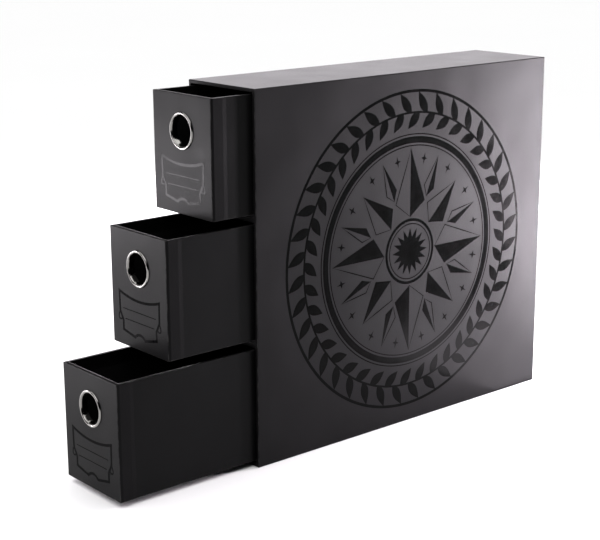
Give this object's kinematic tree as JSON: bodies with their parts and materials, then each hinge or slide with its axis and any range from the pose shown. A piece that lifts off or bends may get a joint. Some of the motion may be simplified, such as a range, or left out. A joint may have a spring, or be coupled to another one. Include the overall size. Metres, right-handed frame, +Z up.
{
  "type": "trading card drawer box",
  "caption": "Tall narrow wrapped rigid-board case with open-topped drawers stacked one above the other, each pulled by a finger through a round metal eyelet.",
  "frame": {"origin": "centre of the case's underside, on the surface that the box stands on", "axes": "+Z up; the drawers come out towards -Y; +X is the right side seen from the front"},
  "size_m": [0.0876, 0.4867, 0.3198],
  "materials": {
    "grey_board": "matte",
    "case_wrap_paper": "matte",
    "front_wrap_paper": "matte",
    "drawer_wrap_paper": "matte",
    "shelf_wrap_paper": "matte",
    "lining_paper": "matte",
    "sheet_paper": "matte",
    "floor_card": "matte",
    "eyelet_metal": "polished",
    "washer_metal": "satin",
    "gloss_varnish": "gloss"
  },
  "bodies": {
    "case": {"case_left_board": "grey_board", "case_right_board": "grey_board", "case_top_board": "grey_board", "case_bottom_board": "grey_board", "case_back_board": "grey_board", "upper_shelf_board": "grey_board", "lower_shelf_board": "grey_board", "case_wrap": "case_wrap_paper", "case_base_sheet": "sheet_paper", "case_rear_sheet": "sheet_paper", "case_lining": "lining_paper", "upper_shelf_wrap": "shelf_wrap_paper", "lower_shelf_wrap": "shelf_wrap_paper", "bottom_bay_floor_card": "floor_card", "middle_bay_floor_card": "floor_card", "top_bay_floor_card": "floor_card"},
    "top_drawer": {"top_drawer_front_board": "grey_board", "top_drawer_back_board": "grey_board", "top_drawer_left_board": "grey_board", "top_drawer_right_board": "grey_board", "top_drawer_bottom_board": "grey_board", "top_drawer_front_wrap": "front_wrap_paper", "top_drawer_body_wrap": "drawer_wrap_paper", "top_drawer_lining": "lining_paper", "top_drawer_eyelet": "eyelet_metal", "top_drawer_eyelet_washer": "washer_metal"},
    "middle_drawer": {"middle_drawer_front_board": "grey_board", "middle_drawer_back_board": "grey_board", "middle_drawer_left_board": "grey_board", "middle_drawer_right_board": "grey_board", "middle_drawer_bottom_board": "grey_board", "middle_drawer_front_wrap": "front_wrap_paper", "middle_drawer_body_wrap": "drawer_wrap_paper", "middle_drawer_lining": "lining_paper", "middle_drawer_eyelet": "eyelet_metal", "middle_drawer_eyelet_washer": "washer_metal"},
    "bottom_drawer": {"bottom_drawer_front_board": "grey_board", "bottom_drawer_back_board": "grey_board", "bottom_drawer_left_board": "grey_board", "bottom_drawer_right_board": "grey_board", "bottom_drawer_bottom_board": "grey_board", "bottom_drawer_front_wrap": "front_wrap_paper", "bottom_drawer_body_wrap": "drawer_wrap_paper", "bottom_drawer_lining": "lining_paper", "bottom_drawer_eyelet": "eyelet_metal", "bottom_drawer_eyelet_washer": "washer_metal"}
  },
  "joints": [
    {"name": "top_drawer_slide", "type": "slide", "parent": "case", "child": "top_drawer", "axis": [0, -1, 0], "range_m": [-0.0398, 0.3112]},
    {"name": "middle_drawer_slide", "type": "slide", "parent": "case", "child": "middle_drawer", "axis": [0, -1, 0], "range_m": [-0.0858, 0.2652]},
    {"name": "bottom_drawer_slide", "type": "slide", "parent": "case", "child": "bottom_drawer", "axis": [0, -1, 0], "range_m": [-0.1353, 0.2157]}
  ]
}
